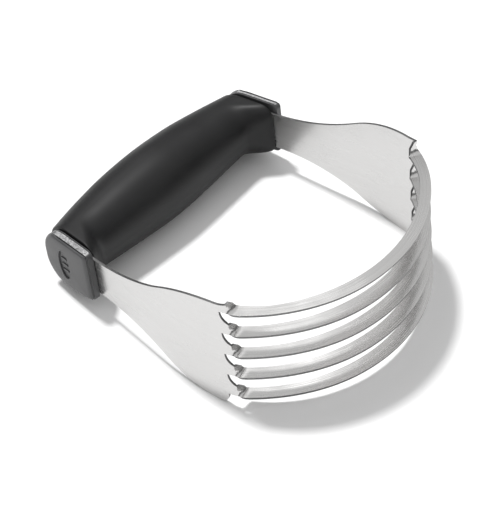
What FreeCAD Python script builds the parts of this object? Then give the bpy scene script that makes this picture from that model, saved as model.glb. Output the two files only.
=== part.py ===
"""Pastry blender: a soft-gripped handle between two steel cheeks that carry five curved blades.

Tool frame, in millimetres: X runs from the handle to the blades, Y runs along the handle and Z is
square to the plane that the blades lie in.  The finished nodes are then turned about Y into the
resting pose, in which the belly of the grip and the lower corners of both cheeks touch the surface.
"""
import FreeCAD, Part
import math
import os
import Sketcher

Vector = FreeCAD.Vector
doc = FreeCAD.newDocument("pastry_blender")

# ---------------------------------------------------------------- driving dimensions

DIMENSIONS = [
    # steel sheet, seen from above: straight tab, gentle bow, tight corner, then the blade arc
    ("sheet_thickness", 1.0),
    ("tab_half_span", 52.0),
    ("tab_splay_angle", 6.3),
    ("bow_radius", 126.0),
    ("corner_radius", 16.8),
    ("arc_centre_x", 35.6),
    ("arc_radius", 64.0),
    ("arc_start_angle", 54.2),
    ("neck_start_angle", 66.0),
    ("twist_end_angle", 52.0),
    # cheek, seen from the side
    ("tab_length", 21.0),
    ("tab_half_height", 8.3),
    ("tab_corner_radius", 3.0),
    ("top_flare_x", -2.0),
    ("top_flare_radius", 88.0),
    ("top_brow_x", 64.0),
    ("top_brow_z", 24.15),
    ("lip_radius", 16.0),
    ("lip_end_x", 71.5),
    ("low_flare_x", 2.0),
    ("low_flare_radius", 75.0),
    ("low_brow_z", -25.08),
    ("toe_x", 65.8),
    ("toe_radius", 4.0),
    ("slot_root_x", 66.3),
    ("slot_root_radius", 5.5),
    ("outline_end_x", 80.0),
    # stock that the outlines are cut from, larger than the finished cheek
    ("sheet_blank_height", 80.0),
    ("silhouette_width", 160.0),
    # strips: neck height in the cheek, then a wider and slightly tilted blade
    ("blade_pitch", 10.24),
    ("neck_lift", 0.6),
    ("neck_height", 4.3),
    ("blade_width", 5.0),
    ("blade_tilt", 11.0),
    ("blade_edge_z", -0.4),
    # locating pegs of the core, through the tabs and into the caps
    ("peg_diameter", 5.0),
    ("peg_hole_diameter", 5.2),
    ("peg_outer_u", -10.5),
    ("peg_inner_u", -17.0),
    ("peg_reach", 2.4),
    ("peg_root", 4.0),
    # end caps
    ("cap_thickness", 4.2),
    ("cap_palm_x", -25.5),
    ("cap_blade_x", 0.9),
    ("cap_half_height", 12.2),
    ("cap_palm_radius", 10.5),
    ("cap_blade_radius", 2.5),
    ("cap_rim_radius", 1.5),
    ("facet_line_offset", 2.5),
    ("facet_line_width", 0.45),
    ("facet_line_depth", 0.4),
    ("facet_line_start_x", -16.5),
    ("facet_line_end_x", -1.0),
    ("facet_line_overcut", 1.0),
    ("medallion_x", -13.4),
    ("medallion_half_width", 3.0),
    ("medallion_half_height", 7.0),
    ("medallion_depth", 0.6),
    ("medallion_bar_length", 3.2),
    ("medallion_bar_width", 0.9),
    ("medallion_bar_spacing", 2.9),
    ("medallion_bar_height", 0.35),
    # rigid core inside the grip
    ("core_palm_x", -22.5),
    ("core_blade_x", -7.0),
    ("core_half_height", 8.5),
    ("core_edge_radius", 3.0),
    ("core_half_length", 58.0),
    ("gap_palm_x", -40.0),
    ("gap_blade_x", 12.0),
    ("gap_height", 60.0),
    # resting pose
    ("rest_angle", 6.86),
    ("rest_shift_x", -34.42),
    ("rest_lift_z", 17.437),
]

# cross-sections of the grip from the middle outwards:
# distance along the handle, palm side x, blade side x, half height, palm and blade corner radii
GRIP_SECTIONS = [
    ("middle", 0.0, -32.5, -3.5, 15.2, 13.7, 13.5),
    ("belly", 18.0, -31.9, -4.3, 14.3, 12.9, 12.7),
    ("waist", 32.0, -30.3, -5.2, 13.0, 11.9, 11.5),
    ("throat", 41.0, -28.8, -5.6, 12.3, 11.4, 10.6),
    ("shoulder", 48.6, -26.9, -1.0, 12.0, 10.6, 6.0),
    ("end", 56.0, -25.4, 0.5, 12.0, 10.5, 3.6),
]
# blades stand in one stack about the middle plane; the outermost is this many pitches from it
BLADE_COUNT = 5
OUTERMOST = (BLADE_COUNT - 1) // 2
TOLERANCE = 1e-6
SECTION_FIELDS = ["station", "palm_x", "blade_x", "half_height", "palm_radius", "blade_radius"]

sheet = doc.addObject("Spreadsheet::Sheet", "dims")


def write_sheet():
    rows = list(DIMENSIONS)
    for name, *values in GRIP_SECTIONS:
        rows += [(f"grip_{name}_{field}", value) for field, value in zip(SECTION_FIELDS, values)]
    for row, (alias, value) in enumerate(rows, start=1):
        sheet.set(f"A{row}", alias.replace("_", " "))
        sheet.set(f"B{row}", str(value))
        sheet.setAlias(f"B{row}", alias)
    doc.recompute()


def size(alias):
    return float(sheet.get(alias))


def cell(alias):
    return f"dims.{alias}"


write_sheet()

# ---------------------------------------------------------------- sketch helpers

ORIGIN_POINT = (-1, 1)
START, END, CENTRE = 1, 2, 3


def origin_plane(body, role):
    return next(feature for feature in body.Origin.OriginFeatures if feature.Role == role)


def new_body(name):
    return doc.addObject("PartDesign::Body", name)


def sketch_on(body, name, role, offset=None):
    """A sketch on one of the body's own origin planes, lifted by the expression in offset."""
    sketch = body.newObject("Sketcher::SketchObject", name)
    sketch.AttachmentSupport = [(origin_plane(body, role), "")]
    sketch.MapMode = "FlatFace"
    if offset:
        sketch.setExpression("AttachmentOffset.Base.z", offset)
    return sketch


def add_line(sketch, start, end):
    return sketch.addGeometry(Part.LineSegment(Vector(*start, 0), Vector(*end, 0)), False)


def add_arc(sketch, centre, radius, first_angle, last_angle):
    """Counter-clockwise arc between two angles in radians."""
    circle = Part.Circle(Vector(*centre, 0), Vector(0, 0, 1), radius)
    return sketch.addGeometry(Part.ArcOfCircle(circle, first_angle, last_angle), False)


def bind(sketch, expression, *constraint):
    """Add a driving constraint and tie it to the spreadsheet."""
    index = sketch.addConstraint(Sketcher.Constraint(*constraint))
    sketch.setExpression(f"Constraints[{index}]", expression)
    return index


def rule(sketch, *constraint):
    return sketch.addConstraint(Sketcher.Constraint(*constraint))


def rounded_outline(sketch, palm_x, blade_x, half_height, palm_radius, blade_radius):
    """Outline with flat top and bottom; each argument is the alias of a cell."""
    left, right, top = size(palm_x), size(blade_x), size(half_height)
    big, small = size(palm_radius), size(blade_radius)
    quarter = math.pi / 2
    top_line = add_line(sketch, (right - small, top), (left + big, top))
    top_left = add_arc(sketch, (left + big, top - big), big, quarter, 2 * quarter)
    palm_line = add_line(sketch, (left, top - big), (left, big - top))
    bottom_left = add_arc(sketch, (left + big, big - top), big, 2 * quarter, 3 * quarter)
    bottom_line = add_line(sketch, (left + big, -top), (right - small, -top))
    bottom_right = add_arc(sketch, (right - small, small - top), small, 3 * quarter, 4 * quarter)
    blade_line = add_line(sketch, (right, small - top), (right, top - small))
    top_right = add_arc(sketch, (right - small, top - small), small, 0, quarter)
    loop = [top_line, top_left, palm_line, bottom_left, bottom_line, bottom_right, blade_line, top_right]
    for here, following in zip(loop, loop[1:] + loop[:1]):
        rule(sketch, "Tangent", here, END, following, START)
    rule(sketch, "Horizontal", top_line)
    rule(sketch, "Horizontal", bottom_line)
    rule(sketch, "Vertical", palm_line)
    rule(sketch, "Equal", top_left, bottom_left)
    rule(sketch, "Equal", top_right, bottom_right)
    bind(sketch, cell(palm_radius), "Radius", top_left, big)
    bind(sketch, cell(blade_radius), "Radius", top_right, small)
    bind(sketch, cell(half_height), "DistanceY", *ORIGIN_POINT, top_line, START, top)
    bind(sketch, "-" + cell(half_height), "DistanceY", *ORIGIN_POINT, bottom_line, START, -top)
    bind(sketch, cell(palm_x), "DistanceX", *ORIGIN_POINT, palm_line, START, left)
    bind(sketch, cell(blade_x), "DistanceX", *ORIGIN_POINT, blade_line, START, right)


def rectangle(sketch, low_x, low_y, high_x, high_y):
    """Axis-parallel rectangle whose sides are expressions."""
    left, low, right, high = (float(sketch.evalExpression(side)) for side in (low_x, low_y, high_x, high_y))
    bottom = add_line(sketch, (left, low), (right, low))
    side = add_line(sketch, (right, low), (right, high))
    top = add_line(sketch, (right, high), (left, high))
    other = add_line(sketch, (left, high), (left, low))
    loop = [bottom, side, top, other]
    for here, following in zip(loop, loop[1:] + loop[:1]):
        rule(sketch, "Coincident", here, END, following, START)
    for line in (bottom, top):
        rule(sketch, "Horizontal", line)
    for line in (side, other):
        rule(sketch, "Vertical", line)
    bind(sketch, low_x, "DistanceX", *ORIGIN_POINT, bottom, START, left)
    bind(sketch, low_y, "DistanceY", *ORIGIN_POINT, bottom, START, low)
    bind(sketch, high_x, "DistanceX", *ORIGIN_POINT, top, START, right)
    bind(sketch, high_y, "DistanceY", *ORIGIN_POINT, top, START, high)


def circle_at(sketch, centre_x, diameter):
    """Circle on the sketch's horizontal axis; both arguments are aliases."""
    circle = Part.Circle(Vector(size(centre_x), 0, 0), Vector(0, 0, 1), size(diameter) / 2)
    index = sketch.addGeometry(circle, False)
    rule(sketch, "PointOnObject", index, CENTRE, -1)
    bind(sketch, cell(centre_x), "DistanceX", *ORIGIN_POINT, index, CENTRE, size(centre_x))
    bind(sketch, cell(diameter), "Diameter", index, size(diameter))


def pad(body, sketch, length, name, midplane=False, reverse=False):
    feature = body.newObject("PartDesign::Pad", name)
    feature.Profile = sketch
    feature.Midplane = midplane
    feature.Reversed = reverse
    feature.setExpression("Length", length)
    return feature


def pocket(body, sketch, length, name, reverse=False, midplane=False):
    """A pocket that must take material away."""
    before = body.Shape.Volume
    feature = body.newObject("PartDesign::Pocket", name)
    feature.Profile = sketch
    feature.Midplane = midplane
    feature.Reversed = reverse
    feature.setExpression("Length", length)
    doc.recompute()
    if not body.Shape.Volume < before:
        raise RuntimeError(f"{name} cuts nothing")
    return feature


def combine(kind, name, base, tool):
    feature = doc.addObject(kind, name)
    feature.Base = base
    feature.Tool = tool
    return feature


def mirrored(name, source):
    """Copy on the other side of the tool's middle plane."""
    feature = doc.addObject("Part::Mirroring", name)
    feature.Source = source
    feature.Base = Vector(0, 0, 0)
    feature.Normal = Vector(0, 1, 0)
    return feature


# ---------------------------------------------------------------- steel sheet: cheeks


def bow_geometry():
    """Centres of the bow and of the corner, each tangent to its neighbours, seen from above."""
    splay = math.radians(size("tab_splay_angle"))
    start = math.radians(size("arc_start_angle"))
    bow, corner = size("bow_radius"), size("corner_radius")
    along = Vector(math.cos(splay), math.sin(splay), 0)
    outward = Vector(-math.sin(splay), math.cos(splay), 0)
    radial = Vector(math.cos(start), math.sin(start), 0)
    arc_centre = Vector(size("arc_centre_x"), 0, 0)
    corner_centre = arc_centre + radial * (size("arc_radius") - corner)
    level = outward * (size("tab_half_span") * math.cos(splay) - bow)
    reach = corner_centre - level
    half = reach.dot(along)
    slide = half - math.sqrt(half ** 2 - reach.dot(reach) + (bow - corner) ** 2)
    return level + along * slide, corner_centre


def surface_x(angle):
    """Expression for x on the sheet's outer face where it points along the given angle in degrees."""
    turned_by_arc = f"min({angle}; {cell('arc_start_angle')})"
    turned_by_corner = f"max({angle}; {cell('arc_start_angle')})"
    return (f"{cell('arc_centre_x')} + {cell('arc_radius')} * cos({turned_by_arc} * 1deg)"
            f" + {cell('corner_radius')} * (cos({turned_by_corner} * 1deg)"
            f" - cos({cell('arc_start_angle')} * 1deg))")


def surface_y(angle):
    """Expression for y on the sheet's outer face where it points along the given angle in degrees."""
    turned_by_arc = f"min({angle}; {cell('arc_start_angle')})"
    turned_by_corner = f"max({angle}; {cell('arc_start_angle')})"
    return (f"{cell('arc_radius')} * sin({turned_by_arc} * 1deg)"
            f" + {cell('corner_radius')} * (sin({turned_by_corner} * 1deg)"
            f" - sin({cell('arc_start_angle')} * 1deg))")


def sheet_plan(body):
    """Band of one sheet thickness that follows the tab, the bow and the corner."""
    sketch = sketch_on(body, "sheet_plan", "XY_Plane")
    thick = size("sheet_thickness")
    splay = math.radians(size("tab_splay_angle"))
    start = math.radians(size("neck_start_angle"))
    bow, corner = size("bow_radius"), size("corner_radius")
    bow_centre, corner_centre = bow_geometry()
    meet = corner_centre - bow_centre
    meet_angle = math.atan2(meet.y, meet.x)
    splay_normal = math.pi / 2 + splay
    tab_x = -size("tab_length")
    faces = []
    for depth in (0.0, thick):
        bow_start = bow_centre + Vector(math.cos(splay_normal), math.sin(splay_normal), 0) * (bow - depth)
        tab_end_x = tab_x + depth * math.sin(splay)
        tab_end_y = bow_start.y + (tab_end_x - bow_start.x) * math.tan(splay)
        line = add_line(sketch, (tab_end_x, tab_end_y), (bow_start.x, bow_start.y))
        bend = add_arc(sketch, (bow_centre.x, bow_centre.y), bow - depth, meet_angle, splay_normal)
        turn = add_arc(sketch, (corner_centre.x, corner_centre.y), corner - depth, start, meet_angle)
        rule(sketch, "Tangent", line, END, bend, END)
        rule(sketch, "Tangent", bend, START, turn, END)
        faces.append((line, bend, turn))
    (line, bend, turn), (inner_line, inner_bend, inner_turn) = faces
    tip = corner_centre + Vector(math.cos(start), math.sin(start), 0) * corner
    inner_tip = corner_centre + Vector(math.cos(start), math.sin(start), 0) * (corner - thick)
    end_face = add_line(sketch, (tip.x, tip.y), (inner_tip.x, inner_tip.y))
    rule(sketch, "Coincident", end_face, START, turn, START)
    rule(sketch, "Coincident", end_face, END, inner_turn, START)
    tab_x_inner = tab_x + thick * math.sin(splay)
    tab_start = sketch.Geometry[line].StartPoint
    tab_start_inner = sketch.Geometry[inner_line].StartPoint
    tab_face = add_line(sketch, (tab_start_inner.x, tab_start_inner.y), (tab_start.x, tab_start.y))
    rule(sketch, "Coincident", tab_face, START, inner_line, START)
    rule(sketch, "Coincident", tab_face, END, line, START)
    rule(sketch, "Perpendicular", tab_face, line)
    rule(sketch, "Coincident", bend, CENTRE, inner_bend, CENTRE)
    rule(sketch, "Coincident", turn, CENTRE, inner_turn, CENTRE)
    bind(sketch, cell("bow_radius"), "Radius", bend, bow)
    bind(sketch, cell("corner_radius"), "Radius", turn, corner)
    bind(sketch, f"{cell('corner_radius')} - {cell('sheet_thickness')}", "Radius", inner_turn, corner - thick)
    bind(sketch, cell("tab_splay_angle"), "Angle", line, splay)
    bind(sketch, "-" + cell("tab_length"), "DistanceX", *ORIGIN_POINT, line, START, tab_x)
    bind(sketch, f"{cell('tab_half_span')} - {cell('tab_length')} * tan({cell('tab_splay_angle')} * 1deg)",
         "DistanceY", *ORIGIN_POINT, line, START, tab_start.y)
    bind(sketch, surface_x(cell("neck_start_angle")), "DistanceX", *ORIGIN_POINT, end_face, START, tip.x)
    bind(sketch, surface_y(cell("neck_start_angle")), "DistanceY", *ORIGIN_POINT, end_face, START, tip.y)
    bind(sketch, f"{cell('neck_start_angle')} - 180", "Angle", end_face, start - math.pi)
    return sketch


def s_curve(start_x, start_z, end_x, end_z, first_radius):
    """Turn of an S-curve, level at both ends, and the radius of its second arc."""
    rise, run = end_z - start_z, end_x - start_x
    turn = 2 * math.atan2(rise, run)
    return turn, run / math.sin(turn) - first_radius


def cheek_outline(body):
    """Side view: narrow tab, two S-shaped edges and the blunt end that carries the blades."""
    sketch = sketch_on(body, "cheek_outline", "XZ_Plane")
    tab_x, tab_z, tab_r = -size("tab_length"), size("tab_half_height"), size("tab_corner_radius")
    low_strip = size("neck_lift") - OUTERMOST * size("blade_pitch")
    end_x, lip_r, lip_x = size("outline_end_x"), size("lip_radius"), size("lip_end_x")
    high_flare_x, high_flare_r = size("top_flare_x"), size("top_flare_radius")
    low_flare_x, low_flare_r = size("low_flare_x"), size("low_flare_radius")
    high_x, high_z = size("top_brow_x"), size("top_brow_z")
    toe_x, low_z, toe = size("toe_x"), size("low_brow_z"), size("toe_radius")
    high_turn, high_brow_r = s_curve(high_flare_x, tab_z, high_x, high_z, high_flare_r)
    low_turn, low_brow_r = s_curve(low_flare_x, tab_z, toe_x, -low_z, low_flare_r)
    quarter = math.pi / 2
    lip_turn = math.asin((lip_x - high_x) / lip_r)
    lip_z = high_z + lip_r * (1 - math.cos(lip_turn))
    toe_z = low_z + low_brow_r - math.sqrt((low_brow_r - toe) ** 2 - toe ** 2)
    toe_meet = math.atan2(toe_z - (low_brow_r + low_z), -toe)

    tab_top = add_line(sketch, (tab_x + tab_r, tab_z), (high_flare_x, tab_z))
    flare_top = add_arc(sketch, (high_flare_x, tab_z + high_flare_r), high_flare_r, -quarter,
                        high_turn - quarter)
    brow_top = add_arc(sketch, (high_x, high_z - high_brow_r), high_brow_r, quarter, quarter + high_turn)
    lip = add_arc(sketch, (high_x, high_z + lip_r), lip_r, -quarter, lip_turn - quarter)
    strip_top = add_line(sketch, (lip_x, lip_z), (end_x, lip_z))
    end_line = add_line(sketch, (end_x, lip_z), (end_x, low_strip))
    strip_low = add_line(sketch, (end_x, low_strip), (toe_x, low_strip))
    toe_line = add_line(sketch, (toe_x, low_strip), (toe_x, toe_z))
    toe_arc = add_arc(sketch, (toe_x - toe, toe_z), toe, toe_meet, 0)
    brow_low = add_arc(sketch, (toe_x, low_z + low_brow_r), low_brow_r, -quarter - low_turn, toe_meet)
    flare_low = add_arc(sketch, (low_flare_x, -tab_z - low_flare_r), low_flare_r, quarter - low_turn,
                        quarter)
    tab_low = add_line(sketch, (low_flare_x, -tab_z), (tab_x + tab_r, -tab_z))
    corner_low = add_arc(sketch, (tab_x + tab_r, tab_r - tab_z), tab_r, 2 * quarter, 3 * quarter)
    tab_end = add_line(sketch, (tab_x, tab_r - tab_z), (tab_x, tab_z - tab_r))
    corner_top = add_arc(sketch, (tab_x + tab_r, tab_z - tab_r), tab_r, quarter, 2 * quarter)

    for here, here_end, there, there_end in (
        (tab_top, END, flare_top, START),
        (flare_top, END, brow_top, END),
        (brow_top, START, lip, START),
        (toe_line, END, toe_arc, END),
        (toe_arc, START, brow_low, END),
        (brow_low, START, flare_low, START),
        (flare_low, END, tab_low, START),
        (tab_low, END, corner_low, END),
        (corner_low, START, tab_end, START),
        (tab_end, END, corner_top, END),
        (corner_top, START, tab_top, START),
    ):
        rule(sketch, "Tangent", here, here_end, there, there_end)
    loop_end = (lip, strip_top, end_line, strip_low, toe_line)
    for here, there in zip(loop_end, loop_end[1:]):
        rule(sketch, "Coincident", here, END, there, START)
    for line in (tab_top, strip_top, strip_low, tab_low):
        rule(sketch, "Horizontal", line)
    for line in (end_line, toe_line, tab_end):
        rule(sketch, "Vertical", line)
    rule(sketch, "Equal", corner_top, corner_low)
    rule(sketch, "Vertical", brow_top, START, lip, CENTRE)
    bind(sketch, cell("top_flare_radius"), "Radius", flare_top, high_flare_r)
    bind(sketch, cell("low_flare_radius"), "Radius", flare_low, low_flare_r)
    bind(sketch, cell("lip_radius"), "Radius", lip, lip_r)
    bind(sketch, cell("tab_corner_radius"), "Radius", corner_top, tab_r)
    bind(sketch, cell("toe_radius"), "Radius", toe_arc, toe)
    for expression, target, end, value in (
        ("-" + cell("tab_length"), tab_end, START, tab_x),
        (cell("top_flare_x"), flare_top, START, high_flare_x),
        (cell("low_flare_x"), flare_low, END, low_flare_x),
        (cell("top_brow_x"), lip, START, high_x),
        (cell("lip_end_x"), lip, END, lip_x),
        (cell("outline_end_x"), end_line, START, end_x),
        (cell("toe_x"), toe_line, START, toe_x),
        (cell("toe_x"), brow_low, CENTRE, toe_x),
    ):
        bind(sketch, expression, "DistanceX", *ORIGIN_POINT, target, end, value)
    for expression, target, end, value in (
        (cell("tab_half_height"), tab_top, START, tab_z),
        ("-" + cell("tab_half_height"), tab_low, START, -tab_z),
        (cell("top_brow_z"), lip, START, high_z),
        (f"{cell('neck_lift')} - {OUTERMOST} * {cell('blade_pitch')}", strip_low, START, low_strip),
    ):
        bind(sketch, expression, "DistanceY", *ORIGIN_POINT, target, end, value)
    depth = f"{cell('low_brow_z')} + {cell('tab_half_height')}"
    run = f"({cell('toe_x')} - {cell('low_flare_x')})"
    turn = f"2 * atan(-({depth}) / {run})"
    bind(sketch, f"{run} / sin({turn}) - {cell('low_flare_radius')}", "Radius", brow_low, low_brow_r)
    return sketch


def slot_outline(body):
    """The uppermost slot between the blades: pointed at its root, it curves down to the next strip."""
    sketch = sketch_on(body, "slot_outline", "XZ_Plane")
    pitch, lift, height = size("blade_pitch"), size("neck_lift"), size("neck_height")
    root_x, end_x, radius = size("slot_root_x"), size("outline_end_x"), size("slot_root_radius")
    high, low = OUTERMOST * pitch + lift, (OUTERMOST - 1) * pitch + lift + height
    centre_z = low + radius
    curve_x = root_x + math.sqrt(radius ** 2 - (centre_z - high) ** 2)
    tip_angle = math.atan2(high - centre_z, root_x - curve_x) + 2 * math.pi
    upper = add_line(sketch, (root_x, high), (end_x, high))
    end_line = add_line(sketch, (end_x, high), (end_x, low))
    lower = add_line(sketch, (end_x, low), (curve_x, low))
    root = add_arc(sketch, (curve_x, centre_z), radius, tip_angle, 1.5 * math.pi)
    rule(sketch, "Coincident", upper, END, end_line, START)
    rule(sketch, "Coincident", end_line, END, lower, START)
    rule(sketch, "Tangent", lower, END, root, END)
    rule(sketch, "Coincident", root, START, upper, START)
    rule(sketch, "Horizontal", upper)
    rule(sketch, "Vertical", end_line)
    rule(sketch, "Horizontal", lower)
    bind(sketch, cell("slot_root_radius"), "Radius", root, radius)
    bind(sketch, cell("slot_root_x"), "DistanceX", *ORIGIN_POINT, upper, START, root_x)
    bind(sketch, cell("outline_end_x"), "DistanceX", *ORIGIN_POINT, end_line, START, end_x)
    bind(sketch, f"{OUTERMOST} * {cell('blade_pitch')} + {cell('neck_lift')}", "DistanceY",
         *ORIGIN_POINT, upper, START, high)
    bind(sketch, f"{OUTERMOST - 1} * {cell('blade_pitch')} + {cell('neck_lift')} + {cell('neck_height')}",
         "DistanceY", *ORIGIN_POINT, lower, START, low)
    return sketch


def make_cheek(peg_holes):
    """Right-hand cheek: the bowed sheet, trimmed to its outline and bored for the core's pegs."""
    sheet_body = new_body("sheet_band")
    plan = sheet_plan(sheet_body)
    pad(sheet_body, plan, cell("sheet_blank_height"), "sheet_band_pad", midplane=True)
    outline_body = new_body("cheek_silhouette")
    pad(outline_body, cheek_outline(outline_body), cell("silhouette_width"), "cheek_silhouette_pad",
        midplane=True)
    doc.recompute()
    slot = pocket(outline_body, slot_outline(outline_body), cell("silhouette_width"), "slot", midplane=True)
    pattern = outline_body.newObject("PartDesign::LinearPattern", "slots")
    pattern.Originals = [slot]
    pattern.Direction = (origin_plane(outline_body, "Z_Axis"), [""])
    pattern.Reversed = True
    pattern.Occurrences = BLADE_COUNT - 1
    pattern.setExpression("Length", f"{BLADE_COUNT - 2} * {cell('blade_pitch')}")
    outline_body.Tip = pattern
    trimmed = combine("Part::Common", "cheek_trimmed", sheet_body, outline_body)
    return combine("Part::Cut", "cheek_bored", trimmed, peg_holes)


# ---------------------------------------------------------------- steel sheet: blades

# share of the neck's angle, and share of the whole twist that is done there; evenly spaced in length
TWIST_STEPS = [(0.0, 0.0), (0.29, 0.28), (0.58, 0.64), (0.85, 0.87), (0.925, 0.97), (1.0, 1.0)]


def strip_outline(sketch, corner, width, width_value, lean, lean_value):
    """Cross-section of a strip, drawn from its outer corner; both sizes are expression and value."""
    thick = size("sheet_thickness")
    along = (math.cos(lean_value), math.sin(lean_value))
    inward = (-math.sin(lean_value), math.cos(lean_value))
    corners = [
        (corner[0] + along[0] * reach + inward[0] * depth, corner[1] + along[1] * reach + inward[1] * depth)
        for reach, depth in ((0, 0), (width_value, 0), (width_value, thick), (0, thick))
    ]
    loop = [add_line(sketch, here, there) for here, there in zip(corners, corners[1:] + corners[:1])]
    for here, following in zip(loop, loop[1:] + loop[:1]):
        rule(sketch, "Coincident", here, END, following, START)
    rule(sketch, "Perpendicular", loop[0], loop[1])
    rule(sketch, "Parallel", loop[0], loop[2])
    rule(sketch, "Parallel", loop[1], loop[3])
    bind(sketch, lean, "Angle", loop[0], lean_value)
    bind(sketch, width, "Distance", loop[0], width_value)
    bind(sketch, cell("sheet_thickness"), "Distance", loop[1], thick)
    return loop


def twist_section(share, turned):
    """Cross-section of the strip in the neck; it turns about its lower outer corner."""
    sketch = doc.addObject("Sketcher::SketchObject", f"neck_section_{round(share * 100)}")
    neck, wide = size("neck_height"), size("blade_width")
    width = f"{cell('neck_height')} + ({cell('blade_width')} - {cell('neck_height')}) * {share}"
    lean = f"90 + (90 - {cell('blade_tilt')}) * {turned}"
    lean_value = math.radians(90 + (90 - size("blade_tilt")) * turned)
    loop = strip_outline(sketch, (0, 0), width, neck + (wide - neck) * share, lean, lean_value)
    rule(sketch, "Coincident", loop[0], START, *ORIGIN_POINT)
    start, end = cell("neck_start_angle"), cell("twist_end_angle")
    angle = f"({start} + ({end} - {start}) * {share})"
    level = f"{cell('neck_lift')} + ({cell('blade_edge_z')} - {cell('neck_lift')}) * {share}"
    sketch.setExpression("Placement", f"placement(vector({surface_x(angle)}, {surface_y(angle)}, {level}),"
                                      f" rotation({angle}, 0, 90))")
    return sketch


def make_blade():
    """One strip: an arc, tilted a little outwards, and a twisted neck at each end."""
    body = new_body("blade_arc")
    sketch = sketch_on(body, "blade_arc_section", "XZ_Plane")
    sketch.setExpression("AttachmentOffset.Base.x", cell("arc_centre_x"))
    corner = (size("arc_radius"), size("blade_edge_z"))
    loop = strip_outline(sketch, corner, cell("blade_width"), size("blade_width"),
                         f"180 - {cell('blade_tilt')}", math.radians(180 - size("blade_tilt")))
    bind(sketch, cell("arc_radius"), "DistanceX", *ORIGIN_POINT, loop[0], START, corner[0])
    bind(sketch, cell("blade_edge_z"), "DistanceY", *ORIGIN_POINT, loop[0], START, corner[1])
    arc = body.newObject("PartDesign::Revolution", "blade_arc_sweep")
    arc.Profile = sketch
    arc.ReferenceAxis = (sketch, ["V_Axis"])
    arc.Midplane = True
    arc.setExpression("Angle", f"2 * {cell('twist_end_angle')}")
    neck = doc.addObject("Part::Loft", "neck_right")
    neck.Sections = [twist_section(share, turned) for share, turned in TWIST_STEPS]
    neck.Solid = True
    neck.Ruled = False
    blade = doc.addObject("Part::MultiFuse", "blade_pattern")
    blade.Shapes = [body, neck, mirrored("neck_left", neck)]
    return blade


# ---------------------------------------------------------------- handle


def place_on_tab(body):
    """Put a body drawn against the tab's outer face onto the splayed right-hand tab."""
    splayed = FreeCAD.Rotation(Vector(0, 0, 1), size("tab_splay_angle"))
    body.Placement = FreeCAD.Placement(Vector(0, size("tab_half_span"), 0), splayed)
    body.setExpression("Placement.Base.y", cell("tab_half_span"))
    body.setExpression("Placement.Rotation.Angle", cell("tab_splay_angle"))


def make_pegs(name, diameter):
    """A pair of round pegs, from inside the core to inside the cap."""
    body = new_body(name)
    start = f"{cell('sheet_thickness')} + {cell('peg_root')}"
    sketch = sketch_on(body, f"{name}_outline", "XZ_Plane", start)
    for centre in ("peg_outer_u", "peg_inner_u"):
        circle_at(sketch, centre, diameter)
    pad(body, sketch, f"{start} + {cell('peg_reach')}", f"{name}_pad", reverse=True)
    place_on_tab(body)
    return body


def make_cap():
    """Right-hand end cap, seated on the tab, with its outer face along +Y."""
    body = new_body("cap_solid")
    outline = sketch_on(body, "cap_outline", "XZ_Plane")
    rounded_outline(outline, "cap_palm_x", "cap_blade_x", "cap_half_height", "cap_palm_radius",
                    "cap_blade_radius")
    plate = pad(body, outline, cell("cap_thickness"), "cap_plate", reverse=True)
    doc.recompute()
    outer_edges = [
        f"Edge{number}" for number, edge in enumerate(plate.Shape.Edges, start=1)
        if all(abs(vertex.Y - size("cap_thickness")) < TOLERANCE for vertex in edge.Vertexes)
    ]
    rim = body.newObject("PartDesign::Fillet", "cap_rim")
    rim.Base = (plate, outer_edges)
    rim.setExpression("Radius", cell("cap_rim_radius"))
    doc.recompute()

    sockets = sketch_on(body, "cap_sockets", "XZ_Plane")
    for centre in ("peg_outer_u", "peg_inner_u"):
        circle_at(sockets, centre, "peg_diameter")
    pocket(body, sockets, cell("peg_reach"), "cap_socket_pocket")

    medallion = sketch_on(body, "medallion_outline", "XZ_Plane", "-" + cell("cap_thickness"))
    centre = Vector(size("medallion_x"), 0, 0)
    tall = Vector(size("medallion_x"), size("medallion_half_height"), 0)
    wide = Vector(size("medallion_x") + size("medallion_half_width"), 0, 0)
    oval = medallion.addGeometry(Part.Ellipse(tall, wide, centre), False)
    medallion.exposeInternalGeometry(oval)
    rule(medallion, "PointOnObject", oval, CENTRE, -1)
    major, minor = oval + 1, oval + 2
    rule(medallion, "Vertical", major)
    bind(medallion, cell("medallion_x"), "DistanceX", *ORIGIN_POINT, oval, CENTRE, centre.x)
    bind(medallion, f"2 * {cell('medallion_half_height')}", "Distance", major, 2 * tall.y)
    bind(medallion, f"2 * {cell('medallion_half_width')}", "Distance", minor,
         2 * size("medallion_half_width"))
    pocket(body, medallion, cell("medallion_depth"), "medallion_recess", reverse=True)

    floor = f"{cell('medallion_depth')} - {cell('cap_thickness')}"
    bars = sketch_on(body, "medallion_bars", "XZ_Plane", floor)
    middle = cell("medallion_x")
    half_length, half_width = f"{cell('medallion_bar_length')} / 2", f"{cell('medallion_bar_width')} / 2"
    for step in (-1, 0, 1):
        level = f"{step} * {cell('medallion_bar_spacing')}"
        rectangle(bars, f"{middle} - {half_length}", f"{level} - {half_width}",
                  f"{middle} + {half_length}", f"{level} + {half_width}")
    pad(body, bars, cell("medallion_bar_height"), "medallion_bar_pad", reverse=True)
    doc.recompute()

    lines = sketch_on(body, "facet_lines", "XZ_Plane", f"-{cell('facet_line_offset')}")
    inside = f"{cell('cap_half_height')} - {cell('facet_line_depth')}"
    outside = f"{cell('cap_half_height')} + {cell('facet_line_overcut')}"
    rectangle(lines, cell("facet_line_start_x"), inside, cell("facet_line_end_x"), outside)
    rectangle(lines, cell("facet_line_start_x"), f"-({outside})", cell("facet_line_end_x"), f"-({inside})")
    pocket(body, lines, cell("facet_line_width"), "facet_line_cut")
    place_on_tab(body)
    return body


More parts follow.
